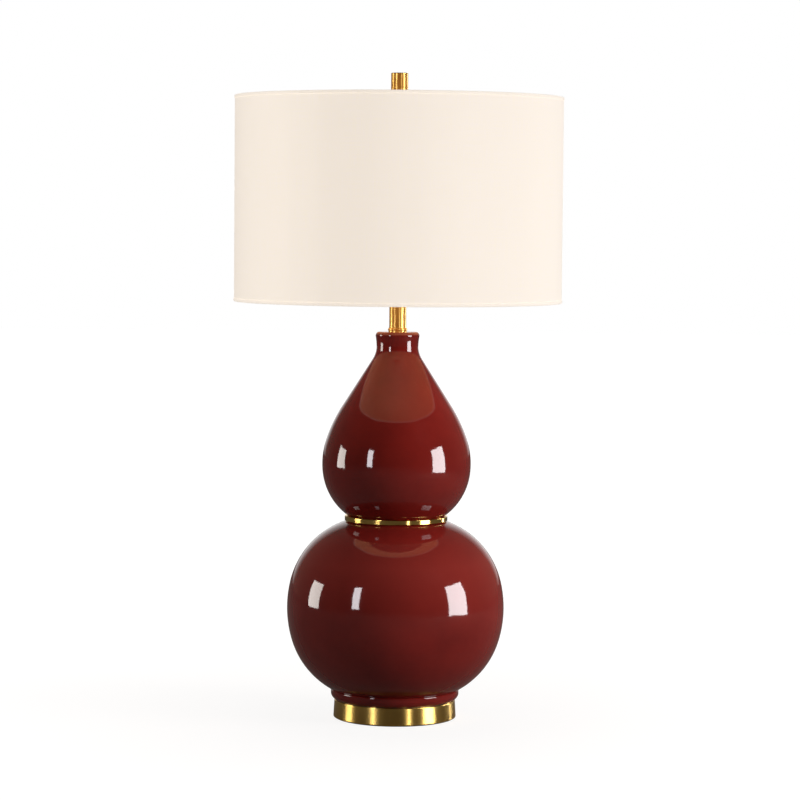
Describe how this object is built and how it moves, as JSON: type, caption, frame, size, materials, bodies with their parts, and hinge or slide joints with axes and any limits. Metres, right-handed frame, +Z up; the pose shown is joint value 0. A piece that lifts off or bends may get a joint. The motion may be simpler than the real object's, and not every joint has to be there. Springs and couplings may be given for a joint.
{
  "type": "table lamp",
  "caption": "Double gourd table lamp: glazed ceramic body on a round brass foot, with a brass waist ring and neck tube, a harp and a white linen drum shade under a brass finial.",
  "frame": {"origin": "on the table, at the centre of the foot's felt", "axes": "+Z up along the lamp's axis, -Y to the front, +X to the viewer's right"},
  "size_m": [0.4073, 0.4074, 0.8022],
  "materials": {
    "felt": "dense black wool felt",
    "satin_brass": "spun brass, satin polished and lacquered",
    "cast_iron": "rough cast iron, painted black",
    "zinc_steel": "zinc-plated steel",
    "black_plastic": "moulded black plastic",
    "black_rubber": "thin black rubber",
    "oxblood_glaze": "stoneware under a deep oxblood gloss glaze",
    "socket_brass": "thin stamped brass",
    "liner_card": "fibre board",
    "phenolic": "moulded phenolic",
    "brass_wire": "brass-plated steel",
    "white_linen": "off-white linen weave",
    "liner_sheet": "translucent white sheet",
    "white_wire": "white painted wire",
    "soft_white_glass": "frosted soft white glass",
    "bulb_aluminium": "bright aluminium",
    "black_glass": "black vitrified glass",
    "solder_tip": "dull solder"
  },
  "bodies": {
    "lamp_body": {"felt_pad": "felt", "foot_shell": "satin_brass", "weight_disc": "cast_iron", "foot_washer": "zinc_steel", "lock_nuts": "zinc_steel", "cord_bushing": "black_plastic", "base_gasket": "black_rubber", "lower_gourd": "oxblood_glaze", "waist_gaskets": "black_rubber", "waist_ring": "satin_brass", "upper_gourd": "oxblood_glaze", "lamp_pipe": "zinc_steel", "seating_ring": "satin_brass", "neck_tube": "satin_brass", "tube_collar": "satin_brass", "harp_saddle": "brass_wire", "socket_cap": "socket_brass", "socket_shell": "socket_brass", "socket_liner": "liner_card", "socket_interior": "phenolic", "socket_screw_shell": "socket_brass", "socket_contact": "socket_brass", "terminal_screws": "zinc_steel"},
    "switch": {"switch_shaft": "socket_brass", "switch_knob": "black_plastic"},
    "harp_frame": {"harp": "brass_wire"},
    "sleeve_right": {"harp_sleeve_right": "brass_wire"},
    "sleeve_left": {"harp_sleeve_left": "brass_wire"},
    "swivel": {"harp_stud": "brass_wire"},
    "drum_shade": {"shade_fabric": "white_linen", "shade_liner": "liner_sheet", "shade_top_hem": "white_linen", "shade_bottom_hem": "white_linen", "shade_bottom_ring": "white_wire", "spider_fitter": "brass_wire"},
    "finial_cap": {"finial": "satin_brass"},
    "light_bulb": {"bulb_glass": "soft_white_glass", "bulb_cap": "bulb_aluminium", "bulb_insulator": "black_glass", "bulb_contact": "solder_tip"}
  },
  "joints": [
    {"name": "switch_turn", "type": "hinge", "parent": "lamp_body", "child": "switch", "pos_m": [0, -0.0209, 0.56163], "axis": [0, -1, 0], "continuous": true},
    {"name": "harp_lift", "type": "slide", "parent": "lamp_body", "child": "harp_frame", "axis": [0, 0, 1], "range_m": [0, 0.15]},
    {"name": "right_sleeve_slide", "type": "slide", "parent": "harp_frame", "child": "sleeve_right", "axis": [0, 0, 1], "range_m": [0, 0.016]},
    {"name": "left_sleeve_slide", "type": "slide", "parent": "harp_frame", "child": "sleeve_left", "axis": [0, 0, 1], "range_m": [0, 0.016]},
    {"name": "shade_swivel", "type": "hinge", "parent": "harp_frame", "child": "swivel", "pos_m": [0, 0, 0.76203], "axis": [0, 0, 1], "continuous": true},
    {"name": "shade_lift", "type": "slide", "parent": "swivel", "child": "drum_shade", "axis": [0, 0, 1], "range_m": [0, 0.27]},
    {"name": "finial_unscrew", "type": "slide", "parent": "drum_shade", "child": "finial_cap", "axis": [0, 0, 1], "range_m": [0, 0.04]},
    {"name": "bulb_unscrew", "type": "slide", "parent": "lamp_body", "child": "light_bulb", "axis": [0, 0, 1], "range_m": [0, 0.03]}
  ]
}
